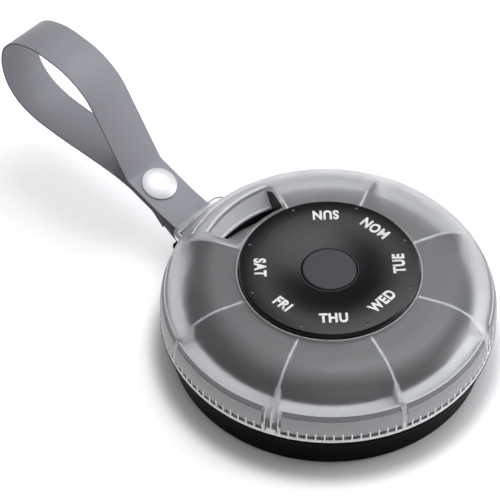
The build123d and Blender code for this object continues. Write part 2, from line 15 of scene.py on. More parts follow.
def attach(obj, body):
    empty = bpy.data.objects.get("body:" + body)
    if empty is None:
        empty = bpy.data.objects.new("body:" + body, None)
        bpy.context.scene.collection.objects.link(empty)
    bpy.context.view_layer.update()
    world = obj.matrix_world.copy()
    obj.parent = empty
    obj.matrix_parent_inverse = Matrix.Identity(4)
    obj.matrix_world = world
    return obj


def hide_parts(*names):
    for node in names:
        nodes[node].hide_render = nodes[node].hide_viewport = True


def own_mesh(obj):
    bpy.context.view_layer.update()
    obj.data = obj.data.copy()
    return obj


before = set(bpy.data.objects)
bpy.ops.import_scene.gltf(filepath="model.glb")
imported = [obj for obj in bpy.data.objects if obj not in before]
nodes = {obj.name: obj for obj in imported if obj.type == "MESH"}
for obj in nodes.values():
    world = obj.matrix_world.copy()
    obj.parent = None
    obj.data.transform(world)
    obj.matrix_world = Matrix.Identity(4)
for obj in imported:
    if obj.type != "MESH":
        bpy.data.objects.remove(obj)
bpy.context.view_layer.update()
scene = bpy.context.scene
scene.view_settings.view_transform = "Standard"
mm = 0.001

# Camera: a long lens that looks down on the case at 47 degrees, from over the Thursday pocket,
# so that the strap runs off to the upper left.
camera_place = (-333.904 * mm, -280.649 * mm, 510.548 * mm)
camera_pitch = math.radians(42.605)
camera_turn = math.radians(-47.2)
camera_lens = 177.055
camera_data = bpy.data.cameras.new("camera")
camera_data.lens = camera_lens
camera_data.sensor_width = 36
camera = bpy.data.objects.new("camera", camera_data)
camera.location = camera_place
camera.rotation_euler = (camera_pitch, 0, camera_turn)
scene.collection.objects.link(camera)
scene.camera = camera

# Floor: one white sheet that keeps the soft shadow round the case's foot and under the strap. A
# glow that rises away from the case makes it pure white where it is seen or mirrored. The glow is
# nil at the case's foot and dips again from 56 mm out, so the tight shade round the foot and the
# depth of the strap's shadow are partly painted shade.
floor_size = 6.0
floor_drop = 0.05 * mm
floor_colour = (0.94, 0.94, 0.94, 1)
floor_near = (45.0 * mm, 0.0)
floor_middle = (51.0 * mm, 0.45)
shadow_dip_start = (56.0 * mm, 0.0)
shadow_dip_end = (74.0 * mm, 0.12)
floor_edge = (250.0 * mm, 0.0)
floor_horizon = (700.0 * mm, 0.67)


def new_piece(name, mesh):
    """Link a finished bmesh to the scene under this name."""
    data = bpy.data.meshes.new(name)
    mesh.to_mesh(data)
    mesh.free()
    piece = bpy.data.objects.new(name, data)
    scene.collection.objects.link(piece)
    return piece


def new_material(name):
    """A node material with its Principled shader, its tree and its output."""
    material = bpy.data.materials.new(name)
    material.use_nodes = True
    tree = material.node_tree
    return material, tree, tree.nodes["Principled BSDF"], tree.nodes["Material Output"]


def reckon(tree, operation, *terms):
    """Result of a math node: a term that is a socket is linked, a number is set."""
    node = tree.nodes.new("ShaderNodeMath")
    node.operation = operation
    for term, socket in zip(terms, node.inputs):
        if isinstance(term, bpy.types.NodeSocket):
            tree.links.new(term, socket)
        else:
            socket.default_value = term
    return node.outputs[0]


def distance_from(tree, vector):
    """Length of a vector's socket, such as a place's distance from the origin."""
    node = tree.nodes.new("ShaderNodeVectorMath")
    node.operation = "LENGTH"
    tree.links.new(vector, node.inputs[0])
    return node.outputs["Value"]


def slope(tree, value, start, end, interpolation="LINEAR"):
    """Map a value from one (place, result) pair to another, level outside them."""
    node = tree.nodes.new("ShaderNodeMapRange")
    node.interpolation_type = interpolation
    node.inputs["From Min"].default_value, node.inputs["To Min"].default_value = start
    node.inputs["From Max"].default_value, node.inputs["To Max"].default_value = end
    tree.links.new(value, node.inputs["Value"])
    return node.outputs["Result"]


floor_mesh = bmesh.new()
bmesh.ops.create_grid(floor_mesh, x_segments=1, y_segments=1, size=floor_size / 2)
bmesh.ops.translate(floor_mesh, verts=floor_mesh.verts, vec=(0, 0, -floor_drop))
floor = new_piece("studio_floor", floor_mesh)
floor_material, tree, shader, output = new_material("studio_white")
shader.inputs["Base Color"].default_value = floor_colour
shader.inputs["Roughness"].default_value = 0.9
shader.inputs["Specular IOR Level"].default_value = 0.0
shader.inputs["Emission Color"].default_value = (1, 1, 1, 1)
rays = tree.nodes.new("ShaderNodeLightPath").outputs
reach = distance_from(tree, tree.nodes.new("ShaderNodeTexCoord").outputs["Object"])
# Painted shade: no glow next to the foot, and a dip in the glow from 56 mm out that darkens the
# strap's shadow.
foot_shade_glow = slope(tree, reach, floor_near, floor_middle, "SMOOTHSTEP")
painted_shade_dip = slope(tree, reach, shadow_dip_start, shadow_dip_end, "SMOOTHSTEP")
far_glow = slope(tree, reach, floor_edge, floor_horizon, "SMOOTHSTEP")
glow = reckon(tree, "ADD", reckon(tree, "SUBTRACT", foot_shade_glow, painted_shade_dip), far_glow)
through = reckon(tree, "MAXIMUM", rays["Is Camera Ray"], rays["Is Transmission Ray"])
seen = reckon(tree, "MAXIMUM", through, rays["Is Glossy Ray"])
tree.links.new(reckon(tree, "MULTIPLY", seen, glow), shader.inputs["Emission Strength"])
floor.data.materials.append(floor_material)

# Light: a white studio, which gloss mirrors as a white horizon under a dark ceiling. A large soft
# panel hangs over the back right, in three layers that fade towards its edge, and three more
# stand above, at the right and in front.
world_level = 0.3
ceiling_level = 0.05
horizon_low = math.sin(math.radians(4))
horizon_high = math.sin(math.radians(16))
lamp_tint = (0.95, 0.965, 1.0)
case_middle = Vector((0, 0, 15)) * mm
screen_right = Matrix.Rotation(camera_turn, 3, "Z") @ Vector((1, 0, 0))
screen_depth = Matrix.Rotation(camera_turn, 3, "Z") @ Vector((0, 1, 0))
world = bpy.data.worlds.new("studio")
scene.world = world
world.use_nodes = True
tree = world.node_tree
backdrop = tree.nodes["Background"]
backdrop.inputs["Color"].default_value = (1, 1, 1, 1)
rays = tree.nodes.new("ShaderNodeLightPath").outputs
through = reckon(tree, "MAXIMUM", rays["Is Camera Ray"], rays["Is Transmission Ray"])
axes = tree.nodes.new("ShaderNodeSeparateXYZ")
tree.links.new(tree.nodes.new("ShaderNodeTexCoord").outputs["Generated"], axes.inputs[0])
sky = slope(tree, axes.outputs["Z"], (horizon_low, 1.0), (horizon_high, ceiling_level))
level = slope(tree, through, (0.0, world_level), (1.0, 1.0))
strength = tree.nodes.new("ShaderNodeMix")
tree.links.new(rays["Is Glossy Ray"], strength.inputs["Factor"])
tree.links.new(level, strength.inputs["A"])
tree.links.new(sky, strength.inputs["B"])
tree.links.new(strength.outputs["Result"], backdrop.inputs["Strength"])


def soft_panel(name, right, depth, height, size, glow):
    """A rectangular area lamp turned to the case, with its lower edge level."""
    data = bpy.data.lights.new(name, "AREA")
    data.shape = "RECTANGLE"
    data.size, data.size_y = size
    data.energy = glow * math.pi * data.size * data.size_y
    data.color = lamp_tint
    panel = bpy.data.objects.new(name, data)
    panel.location = right * screen_right + depth * screen_depth + Vector((0, 0, height))
    back = (panel.location - case_middle).normalized()
    side = (screen_right - screen_right.dot(back) * back).normalized()
    panel.rotation_euler = Matrix((side, back.cross(side), back)).transposed().to_euler()
    scene.collection.objects.link(panel)


soft_panel("key_panel", right=0.22, depth=0.42, height=0.86, size=(0.52, 0.5), glow=1.45)
soft_panel("key_halo", right=0.22, depth=0.42, height=0.88, size=(0.72, 0.7), glow=1.0)
soft_panel("key_spill", right=0.22, depth=0.40, height=0.90, size=(1.0, 0.95), glow=0.5)
soft_panel("top_panel", right=0.12, depth=0.05, height=1.0, size=(1.1, 0.7), glow=1.0)
soft_panel("right_panel", right=0.9, depth=0.1, height=0.35, size=(0.5, 0.5), glow=3.2)
soft_panel("front_panel", right=0.15, depth=-0.6, height=0.75, size=(0.6, 0.26), glow=1.0)

# Base: a shallow bowl moulded in black plastic with a fine satin grain. Its collar holds the
# cover, and two ears at the back hold the strap's steel pin.
grain_strength = 0.4
grain_gloss = 0.08


def finish_group():
    """Surface of a moulded part: a faint mottle in tone and gloss, and a fine grain."""
    group = bpy.data.node_groups.new("moulded_finish", "ShaderNodeTree")
    face = group.interface
    for name, kind, value in (
        ("Colour", "NodeSocketColor", (0.5, 0.5, 0.5, 1)),
        ("Tone Spread", "NodeSocketFloat", 0.1),
        ("Roughness", "NodeSocketFloat", 0.4),
        ("Roughness Spread", "NodeSocketFloat", 0.05),
        ("Mottle Scale", "NodeSocketFloat", 60.0),
        ("Grain Scale", "NodeSocketFloat", 2500.0),
    ):
        face.new_socket(name, in_out="INPUT", socket_type=kind).default_value = value
    face.new_socket("Colour", in_out="OUTPUT", socket_type="NodeSocketColor")
    face.new_socket("Roughness", in_out="OUTPUT", socket_type="NodeSocketFloat")
    face.new_socket("Grain", in_out="OUTPUT", socket_type="NodeSocketFloat")
    given = group.nodes.new("NodeGroupInput").outputs
    end = group.nodes.new("NodeGroupOutput")
    place = group.nodes.new("ShaderNodeTexCoord")
    mottle = group.nodes.new("ShaderNodeTexNoise")
    mottle.inputs["Detail"].default_value = 3.0
    grain = group.nodes.new("ShaderNodeTexNoise")
    grain.inputs["Detail"].default_value = 2.0
    centred = reckon(group, "SUBTRACT", mottle.outputs["Fac"], 0.5)
    tone = reckon(group, "MULTIPLY_ADD", centred, given["Tone Spread"], 1.0)
    gloss = reckon(group, "MULTIPLY_ADD", centred, given["Roughness Spread"], given["Roughness"])
    shade = group.nodes.new("ShaderNodeVectorMath")
    shade.operation = "SCALE"
    link = group.links.new
    link(place.outputs["Object"], mottle.inputs["Vector"])
    link(place.outputs["Object"], grain.inputs["Vector"])
    link(given["Mottle Scale"], mottle.inputs["Scale"])
    link(given["Grain Scale"], grain.inputs["Scale"])
    link(given["Colour"], shade.inputs[0])
    link(tone, shade.inputs["Scale"])
    link(shade.outputs[0], end.inputs["Colour"])
    link(gloss, end.inputs["Roughness"])
    link(grain.outputs["Fac"], end.inputs["Grain"])
    return group


moulded_finish = finish_group()


def finish(tree, shader, colour, tone_spread, roughness, gloss_spread):
    """Feed the shared finish to a shader's colour and roughness, and return its grain."""
    node = tree.nodes.new("ShaderNodeGroup")
    node.node_tree = moulded_finish
    node.inputs["Colour"].default_value = (*colour, 1)
    node.inputs["Tone Spread"].default_value = tone_spread
    node.inputs["Roughness"].default_value = roughness
    node.inputs["Roughness Spread"].default_value = gloss_spread
    tree.links.new(node.outputs["Colour"], shader.inputs["Base Color"])
    tree.links.new(node.outputs["Roughness"], shader.inputs["Roughness"])
    return node.outputs["Grain"]


def raise_grain(tree, shader, grain, strength, depth):
    """Let the finish's grain stand out of the surface this far."""
    bump = tree.nodes.new("ShaderNodeBump")
    bump.inputs["Strength"].default_value = strength
    bump.inputs["Distance"].default_value = depth
    tree.links.new(grain, bump.inputs["Height"])
    tree.links.new(bump.outputs["Normal"], shader.inputs["Normal"])


def moulded(name, colour, roughness, grain_depth, tone_spread=0.12, shine=0.5):
    """A moulded plastic in this colour, with the shared finish and a grain this deep."""
    material, tree, shader, output = new_material(name)
    shader.inputs["Specular IOR Level"].default_value = shine
    grain = finish(tree, shader, colour, tone_spread, roughness, grain_gloss)
    raise_grain(tree, shader, grain, grain_strength, grain_depth)
    return material


def dress(node, material):
    """Give a kept node of the frame its finished material."""
    nodes[node].material_slots[0].material = material


base_plastic = moulded("black_satin_plastic", (0.002, 0.002, 0.0025), 0.4, 0.02 * mm, shine=0.012)
dress("base_shell", base_plastic)

# Base flare: the bowl widens a little towards the cover's lip, in the same black plastic. It is
# moulded on and stops at the strap's ears.
flare_profile = (
    (42.9, 4.2),
    (43.4, 5.8),
    (43.85, 7.8),
    (44.35, 9.6),
    (44.8, 11.0),
    (45.08, 11.9),
    (45.16, 12.45),
    (43.9, 12.5),
    (43.3, 8.0),
)
flare_span = (105, 435)
flare_steps = 160
full_turn = (0, 360)
turned_sharp = math.radians(30)


def turned_strips(name, profile, spans, steps, material):
    """Turn a section, in mm outwards and up, through each span of angles in degrees."""
    mesh = bmesh.new()
    for start, end in spans:
        face = mesh.faces.new([mesh.verts.new((r * mm, 0, z * mm)) for r, z in profile])
        turn = Matrix.Rotation(math.radians(start), 4, "Z")
        bmesh.ops.transform(mesh, matrix=turn, verts=face.verts)
        section = face.verts[:] + face.edges[:]
        closed = (start, end) == full_turn
        if closed:
            mesh.faces.remove(face)
        else:
            section.append(face)
        bmesh.ops.spin(
            mesh,
            geom=section,
            cent=(0, 0, 0),
            axis=(0, 0, 1),
            angle=math.radians(end - start),
            steps=steps,
            use_merge=closed,
        )
    bmesh.ops.recalc_face_normals(mesh, faces=mesh.faces)
    for face in mesh.faces:
        face.smooth = True
    strips = new_piece(name, mesh)
    strips.data.set_sharp_from_angle(angle=turned_sharp)
    strips.data.materials.append(material)
    return strips


base_flare = turned_strips("base_flare", flare_profile, [flare_span], flare_steps, base_plastic)
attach(base_flare, "case")

# Strap pin, detent ring and washer: small fittings of zinc-plated steel, natural acetal and white
# plastic, which sit in the base before the tray goes on.
brush_strength = 0.2
brush_tone = 0.06
brush_gloss = 0.06


def metal(name, colour, roughness, brush_depth):
    """A plated steel with faint brushing."""
    material, tree, shader, output = new_material(name)
    shader.inputs["Metallic"].default_value = 1.0
    grain = finish(tree, shader, colour, brush_tone, roughness, brush_gloss)
    raise_grain(tree, shader, grain, brush_strength, brush_depth)
    return material


zinc_steel = metal("zinc_plated_steel", (0.62, 0.62, 0.63), 0.32, 0.01 * mm)
acetal = moulded("natural_acetal", (0.74, 0.73, 0.69), 0.4, 0.01 * mm, 0.04)
white_plastic = moulded("white_plastic", (0.92, 0.92, 0.93), 0.35, 0.01 * mm, 0.03)
dress("strap_bar", zinc_steel)
dress("index_ring", acetal)
dress("slip_washer", white_plastic)

# Tray: eight pockets moulded in black in one piece with the hub, and an outer rim moulded on in
# white. The pocket without a day has a raised white floor, and the detent fork hangs from the
# hub's deck.
tray_black = (0.003, 0.003, 0.0035)
tray_white = (0.86, 0.86, 0.87)
tray_rim_radius = 39.05 * mm


def second_tone(material, mask, colour):
    """Lay another colour over a material's finish where the mask is 1."""
    tree = material.node_tree
    base_colour = tree.nodes["Principled BSDF"].inputs["Base Color"]
    first = base_colour.links[0].from_socket
    tones = tree.nodes.new("ShaderNodeMix")
    tones.data_type = "RGBA"
    tones.inputs["B"].default_value = (*colour, 1)
    tree.links.new(mask, tones.inputs["Factor"])
    tree.links.new(first, tones.inputs["A"])
    tree.links.new(tones.outputs["Result"], base_colour)


tray_plastic = moulded("tray_black_plastic", tray_black, 0.4, 0.02 * mm, shine=0.3)
tree = tray_plastic.node_tree
flat = tree.nodes.new("ShaderNodeVectorMath")
flat.operation = "MULTIPLY"
flat.inputs[1].default_value = (1, 1, 0)
tree.links.new(tree.nodes.new("ShaderNodeTexCoord").outputs["Object"], flat.inputs[0])
reach = distance_from(tree, flat.outputs["Vector"])
second_tone(tray_plastic, reckon(tree, "GREATER_THAN", reach, tray_rim_radius), tray_white)
dress("tray", tray_plastic)
dress("blank_plate", white_plastic)
dress("detent_fork", acetal)

# Pocket rims: a white lip on the outer wall of each day's pocket, turned outwards at its top
# towards the cover. It shows through the frost as the pale ring round the dark pockets.
sector_step = 45
rim_steps = 20
vane_half_width = 0.75
vane_end_radius = 38.2
rim_half_gap = math.degrees(math.asin(vane_half_width / vane_end_radius))
rim_reach = sector_step / 2 - rim_half_gap
rim_white = moulded("pocket_rim_plastic", (0.84, 0.84, 0.85), 0.35, 0.01 * mm, 0.03)
rim_profile = (
    (39.2, 14.62),
    (40.0, 14.62),
    (40.0, 19.4),
    (42.0, 19.4),
    (42.0, 16.2),
    (42.5, 16.2),
    (42.5, 20.1),
    (38.9, 20.1),
    (38.5, 19.8),
    (38.5, 19.4),
    (39.2, 19.4),
)
for number in range(1, 8):
    rim_middle = sector_step * (2 - number)
    rim_span = (rim_middle - rim_reach, rim_middle + rim_reach)
    rim = turned_strips(f"pocket_rim_{number}", rim_profile, [rim_span], rim_steps, rim_white)
    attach(rim, "rotor")

# Blank wall: a sloped white plastic wall in the pocket without a day, with a small bead on its
# lower edge. It stands behind the dispensing window and reaches up to the cover.
wall_profile = (
    (34.1, 20.2),
    (34.5, 20.0),
    (35.0, 20.0),
    (38.95, 23.9),
    (38.95, 24.7),
    (38.4, 24.9),
    (34.8, 20.9),
    (34.3, 20.85),
    (34.1, 20.6),
)
wall_span = (90 - rim_reach, 90 + rim_reach)
blank_wall = turned_strips("blank_wall", wall_profile, [wall_span], rim_steps, white_plastic)
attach(blank_wall, "rotor")

# Cover: clear plastic with a fine etched frost, moulded in one piece with the hood over the
# strap's pin, and snapped over the base's collar.
cover_tint = (0.965, 0.97, 0.98)
cover_mottle = 0.03
cover_frost = 0.3
cover_frost_spread = 0.05
cover_clearness = 0.965
cover_shadow = (0.95, 0.95, 0.95, 1)
frosted_clear, tree, shader, output = new_material("frosted_clear_plastic")
finish(tree, shader, cover_tint, cover_mottle, cover_frost, cover_frost_spread)
shader.inputs["Transmission Weight"].default_value = cover_clearness
shader.inputs["IOR"].default_value = 1.45
rays = tree.nodes.new("ShaderNodeLightPath").outputs
clear = tree.nodes.new("ShaderNodeBsdfTransparent")
clear.inputs["Color"].default_value = cover_shadow
choice = tree.nodes.new("ShaderNodeMixShader")
tree.links.new(rays["Is Shadow Ray"], choice.inputs["Fac"])
tree.links.new(shader.outputs["BSDF"], choice.inputs[1])
tree.links.new(clear.outputs["BSDF"], choice.inputs[2])
tree.links.new(choice.outputs["Shader"], output.inputs["Surface"])
dress("cover", frosted_clear)

# Cover lines: a fine rib on the inside of the cover over each divider, from the centre hole out
# over the shoulder. It is pale grey, a painted highlight for the light the divider's edge
# catches.
line_width = 0.6 * mm
line_depth = 0.1 * mm
line_start = 24.6 * mm
line_middle = Vector((31.0, 0, 16.6)) * mm
line_run = 12.38 * mm
line_rise = 10.98 * mm
line_turn = math.radians(50)
line_steps = 14
# Painted highlight: a pale grey for ribs and edges of the clear cover where they catch light.
rib_highlight_grey = moulded("rib_highlight_plastic", (0.58, 0.58, 0.59), 0.5, 0.01 * mm, 0.03)


def cover_line(number):
    """One rib: a narrow strip bent down over the shoulder's curve, then run in to the hole."""
    mesh = bmesh.new()
    ends = [mesh.verts.new((0, side * line_width / 2, 1)) for side in (-1, 1)]
    first = mesh.edges.new(ends)
    bmesh.ops.spin(
        mesh,
        geom=[first],
        cent=(0, 0, 0),
        axis=(0, 1, 0),
        angle=line_turn,
        steps=line_steps,
    )
    bmesh.ops.scale(mesh, verts=mesh.verts, vec=(line_run, 1, line_rise))
    grown = bmesh.ops.extrude_edge_only(mesh, edges=[first])["geom"]
    inner = [item for item in grown if isinstance(item, bmesh.types.BMVert)]
    bmesh.ops.translate(mesh, verts=mesh.verts, vec=line_middle)
    bmesh.ops.translate(mesh, verts=inner, vec=(line_start - line_middle.x, 0, 0))
    bmesh.ops.recalc_face_normals(mesh, faces=mesh.faces)
    bmesh.ops.solidify(mesh, geom=mesh.faces[:], thickness=line_depth)
    turn = Matrix.Rotation(math.radians(sector_step * (number - 0.5)), 4, "Z")
    bmesh.ops.transform(mesh, matrix=turn, verts=mesh.verts)
    line = new_piece(f"cover_line_{number}", mesh)
    line.data.materials.append(rib_highlight_grey)
    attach(line, "case")


for number in range(1, 9):
    cover_line(number)

# Skirt bands: a shallow band sunk round each sector of the cover's skirt, painted dark grey as
# painted shade in the groove. Its upper edge is polished and painted white, a painted highlight
# where it gathers light.
skirt_radius = 45.0
snap_half_width = 2.7
bridge_half_width = 0.9
snap_half = math.degrees(snap_half_width / skirt_radius)
bridge_half = math.degrees(bridge_half_width / skirt_radius)
band_steps = 24
band_shade_grey = moulded("band_shade_plastic", (0.21, 0.212, 0.22), 0.35, 0.01 * mm, 0.04)
# Painted highlight: an opaque white for edges and ribs of the clear cover where they catch light.
highlight_white = moulded("painted_highlight_white", (0.93, 0.93, 0.94), 0.45, 0.01 * mm, 0.03)
band_profile = ((44.05, 20.35), (44.24, 20.3), (43.66, 21.65), (43.45, 21.55))
band_edge_profile = ((43.5, 21.7), (43.82, 21.72), (43.72, 21.95), (43.4, 21.9))


def cover_strips(name, profile, spans, steps, material):
    """Strips turned on the cover, which stay with it."""
    strips = turned_strips(name, profile, spans, steps, material)
    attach(strips, "case")


band_spans = []
for index in range(8):
    start = sector_step * (index + 0.5)
    low, high = (snap_half, bridge_half) if index % 2 == 0 else (bridge_half, snap_half)
    band_spans.append((start + low, start + sector_step - high))
cover_strips("skirt_bands", band_profile, band_spans, band_steps, band_shade_grey)
cover_strips("skirt_band_edges", band_edge_profile, band_spans, band_steps, highlight_white)

# Skirt faces: the smooth frosted wall of the skirt under each band, between the ribs, where the
# black tray behind it makes the frost look grey.
face_grey = moulded("skirt_face_plastic", (0.37, 0.372, 0.38), 0.4, 0.01 * mm, 0.04)
face_profile = (
    (44.7, 15.0),
    (45.06, 15.05),
    (45.06, 16.6),
    (45.02, 17.5),
    (44.92, 18.4),
    (44.74, 19.3),
    (44.48, 20.15),
    (44.1, 20.15),
    (44.5, 18.4),
    (44.7, 16.6),
)
cover_strips("skirt_faces", face_profile, band_spans, band_steps, face_grey)

# Skirt bridges: a plain upright rib between two bands over every second divider, moulded with
# the cover and painted pale grey as a painted highlight.
bridge_width = 1.5
bridge_start = 67.5
bridge_profile = (
    (44.7, 13.6),
    (45.05, 13.7),
    (45.05, 16.6),
    (44.91, 18.4),
    (44.0, 21.3),
    (43.7, 21.3),
)


def around(width, count, start):
    """Spans of one width in mm, in a ring of this many on the skirt."""
    half = math.degrees(width / 2 / skirt_radius)
    middles = [start + index * 360 / count for index in range(count)]
    return [(middle - half, middle + half) for middle in middles]


bridge_spans = around(bridge_width, 4, bridge_start)
cover_strips("skirt_bridges", bridge_profile, bridge_spans, steps=2, material=rib_highlight_grey)

# Hole edge: the rounded inner edge of the cover round the dial, painted pale grey as a painted
# highlight where it gathers a little light. It is moulded with the cover.
ring_steps = 192
hole_profile = ((24.28, 28.9), (24.62, 29.12), (24.66, 29.23), (24.5, 29.24), (24.28, 29.0))
cover_strips("hole_edge", hole_profile, [full_turn], ring_steps, rib_highlight_grey)

# Skirt lip and grip: the polished lower edge of the cover, and the ring of fine upright ribs
# above it for the fingers. Both are painted white, a painted highlight where they catch light.
grip_width = 0.4
grip_count = 120
first_divider = 22.5
lip_profile = ((44.6, 12.62), (45.04, 12.66), (45.07, 13.0), (44.92, 13.55), (44.6, 13.5))
grip_profile = ((44.7, 13.4), (45.03, 13.4), (45.09, 15.0), (45.09, 16.0), (44.7, 16.3))
grip_spans = around(grip_width, grip_count, first_divider)
cover_strips("skirt_lip", lip_profile, [full_turn], ring_steps, highlight_white)
cover_strips("skirt_grip", grip_profile, grip_spans, steps=1, material=highlight_white)

# Snaps: four clear tabs on the skirt, moulded with the cover, which hold it to the base. Each has
# a rib in its middle and one on either side, and a thick foot, all painted white as painted
# highlights.
snap_rib_width = 0.35
snap_side_width = 0.3
snap_side_turn = 2.4
foot_width = 2.6
snap_profile = (
    (44.7, 13.6),
    (45.05, 13.7),
    (45.05, 16.6),
    (44.0, 20.9),
    (43.8, 20.9),
    (44.7, 16.6),
)
foot_profile = ((44.7, 13.3), (45.06, 13.35), (45.07, 13.9), (45.03, 14.6), (44.7, 14.8))
snap_spans = around(snap_rib_width, 4, first_divider)
snap_spans += around(snap_side_width, 4, first_divider + snap_side_turn)
snap_spans += around(snap_side_width, 4, first_divider - snap_side_turn)
foot_spans = around(foot_width, 4, first_divider)
cover_strips("snap_ribs", snap_profile, snap_spans, steps=1, material=highlight_white)
cover_strips("snap_feet", foot_profile, foot_spans, steps=3, material=highlight_white)

# Window ridges: two low raised edges moulded on the cover behind the dispensing window, one along
# its opening and one over the hood. Both are painted white as painted highlights.
ridge_steps = 20
ridge_profile = ((35.3, 28.3), (35.3, 28.63), (35.9, 28.45), (35.9, 28.15))
outer_profile = ((39.3, 26.4), (39.3, 26.78), (39.8, 26.44), (39.8, 26.1))
cover_strips("window_ridge", ridge_profile, [(71.0, 109.0)], ridge_steps, highlight_white)
cover_strips("outer_ridge", outer_profile, [(70.0, 110.0)], ridge_steps, highlight_white)

# Dial: a dished disc moulded in black with the day names in white, on the hub of the tray.
# Three screws hold it from below.
dial_black = (0.003, 0.003, 0.0035)
dial_plastic = moulded("dial_satin_plastic", dial_black, 0.28, 0.015 * mm, shine=0.39)
dress("dial", dial_plastic)
dress("dial_screws", zinc_steel)
label_cap_height = 3.35 * mm
label_circle = 18.3 * mm
label_depth = 0.12 * mm
label_proud = 0.03 * mm
label_weight = 0.045
label_squeeze = 0.81
label_spacing = 1.12
label_facet = 0.7 * mm
label_cuts = 3
weld = 0.001 * mm
day_names = ("SUN", "MON", "TUE", "WED", "THU", "FRI", "SAT")
dial_tree = BVHTree.FromPolygons(
    [v.co.copy() for v in nodes["dial"].data.vertices],
    [tuple(p.vertices) for p in nodes["dial"].data.polygons],
)
label_ink = moulded("label_white", (0.9, 0.9, 0.9), 0.45, 0.005 * mm, 0.02)


def on_dial(x, y):
    """Point on the dial's upper face at this place."""
    return dial_tree.ray_cast(Vector((x, y, 1.0)), Vector((0, 0, -1)))[0]


def day_label(number, word):
    """One day's name in white, laid on the dish of the dial with its foot outwards."""
    text = bpy.data.curves.new(word, "FONT")
    text.body = word
    text.align_x = "CENTER"
    text.offset = label_weight
    text.space_character = label_spacing
    letters = bpy.data.objects.new(word, text)
    scene.collection.objects.link(letters)
    bpy.context.view_layer.update()
    flat = bpy.data.meshes.new_from_object(letters)
    bpy.data.objects.remove(letters)
    mesh = bmesh.new()
    mesh.from_mesh(flat)
    foot = min(vert.co.y for vert in mesh.verts)
    size = label_cap_height / (max(vert.co.y for vert in mesh.verts) - foot)
    bmesh.ops.translate(mesh, verts=mesh.verts, vec=(0, -foot, 0))
    bmesh.ops.scale(mesh, verts=mesh.verts, vec=(size * label_squeeze, size, size))
    bmesh.ops.remove_doubles(mesh, verts=mesh.verts, dist=weld)
    for _ in range(label_cuts):
        bmesh.ops.triangulate(mesh, faces=mesh.faces)
        long_edges = [edge for edge in mesh.edges if edge.calc_length() > label_facet]
        bmesh.ops.subdivide_edges(mesh, edges=long_edges, cuts=1)
    bmesh.ops.triangulate(mesh, faces=mesh.faces)
    angle = math.radians(sector_step * (2 - number))
    turn = Matrix.Rotation(angle + math.pi / 2, 4, "Z")
    shift = Matrix.Translation((0, -label_circle - label_cap_height / 2, 0))
    bmesh.ops.transform(mesh, matrix=turn @ shift, verts=mesh.verts)
    for vert in mesh.verts:
        vert.co.z = on_dial(vert.co.x, vert.co.y).z + label_proud
    grown = bmesh.ops.extrude_face_region(mesh, geom=list(mesh.faces))
    sunk = [item for item in grown["geom"] if isinstance(item, bmesh.types.BMVert)]
    bmesh.ops.translate(mesh, verts=sunk, vec=(0, 0, -label_depth))
    bmesh.ops.recalc_face_normals(mesh, faces=mesh.faces)
    label = new_piece(f"day_label_{number}", mesh)
    label.data.materials.append(label_ink)
    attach(label, "rotor")


for number, word in enumerate(day_names, start=1):
    day_label(number, word)

# Button bezel: a fine ring on the dial round the button's hole, a shade paler than the dial, as a
# painted highlight on the hole's edge.
bezel_highlight_grey = moulded("bezel_highlight_plastic", (0.07, 0.07, 0.074), 0.35, 0.005 * mm, 0.04)
bezel_radius = 7.72
bezel_steps = 128
bezel_height = on_dial(bezel_radius * mm, 0).z / mm
bezel_top = bezel_height + 0.03
bezel_foot = bezel_height - 0.2
bezel_profile = (
    (bezel_radius - 0.13, bezel_foot),
    (bezel_radius - 0.1, bezel_top),
    (bezel_radius + 0.1, bezel_top),
    (bezel_radius + 0.13, bezel_foot),
)
bezel = turned_strips("button_bezel", bezel_profile, [full_turn], bezel_steps, bezel_highlight_grey)
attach(bezel, "rotor")

# Dial dots: a grey fill in the dimple over each divider, a painted highlight for the light the
# dimple catches. It shows where one day's pocket ends.
dot_highlight_fill = moulded("dot_highlight_grey", (0.12, 0.12, 0.125), 0.45, 0.005 * mm, 0.02)
dot_circle = 22.3 * mm
dot_radius = 0.43 * mm
dot_depth = 0.34 * mm
dot_lift = 0.01 * mm
dots_mesh = bmesh.new()
for index in range(8):
    angle = math.radians(sector_step * (index + 0.5))
    dimple = on_dial(dot_circle * math.cos(angle), dot_circle * math.sin(angle))
    bmesh.ops.create_cone(
        dots_mesh,
        cap_ends=True,
        segments=20,
        radius1=dot_radius,
        radius2=dot_radius,
        depth=dot_depth,
        matrix=Matrix.Translation(dimple + Vector((0, 0, dot_depth / 2 + dot_lift))),
    )
dots = new_piece("dial_dots", dots_mesh)
dots.data.materials.append(dot_highlight_fill)
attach(dots, "rotor")

# Button: a flat grey cap in the middle of the dial, pushed up by a steel spring. The sleeve
# on its stem frees the detent when it is pressed.
button_plastic = moulded("button_satin_plastic", (0.03, 0.031, 0.036), 0.4, 0.01 * mm, 0.06)
dress("button_cap", button_plastic)
dress("lock_sleeve", acetal)
dress("button_screw", zinc_steel)

# Return spring: five turns of steel wire between the hub's cup and the button.
coil_sharp = math.radians(40)
coil_mesh = bmesh.new()
coil_mesh.from_mesh(nodes["return_spring"].data)
bmesh.ops.remove_doubles(coil_mesh, verts=coil_mesh.verts, dist=weld)
for face in coil_mesh.faces:
    face.smooth = True
coil = new_piece("return_coil", coil_mesh)
coil.data.set_sharp_from_angle(angle=coil_sharp)
coil.data.materials.append(zinc_steel)
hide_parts("return_spring")
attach(coil, "rotor")
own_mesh(coil)

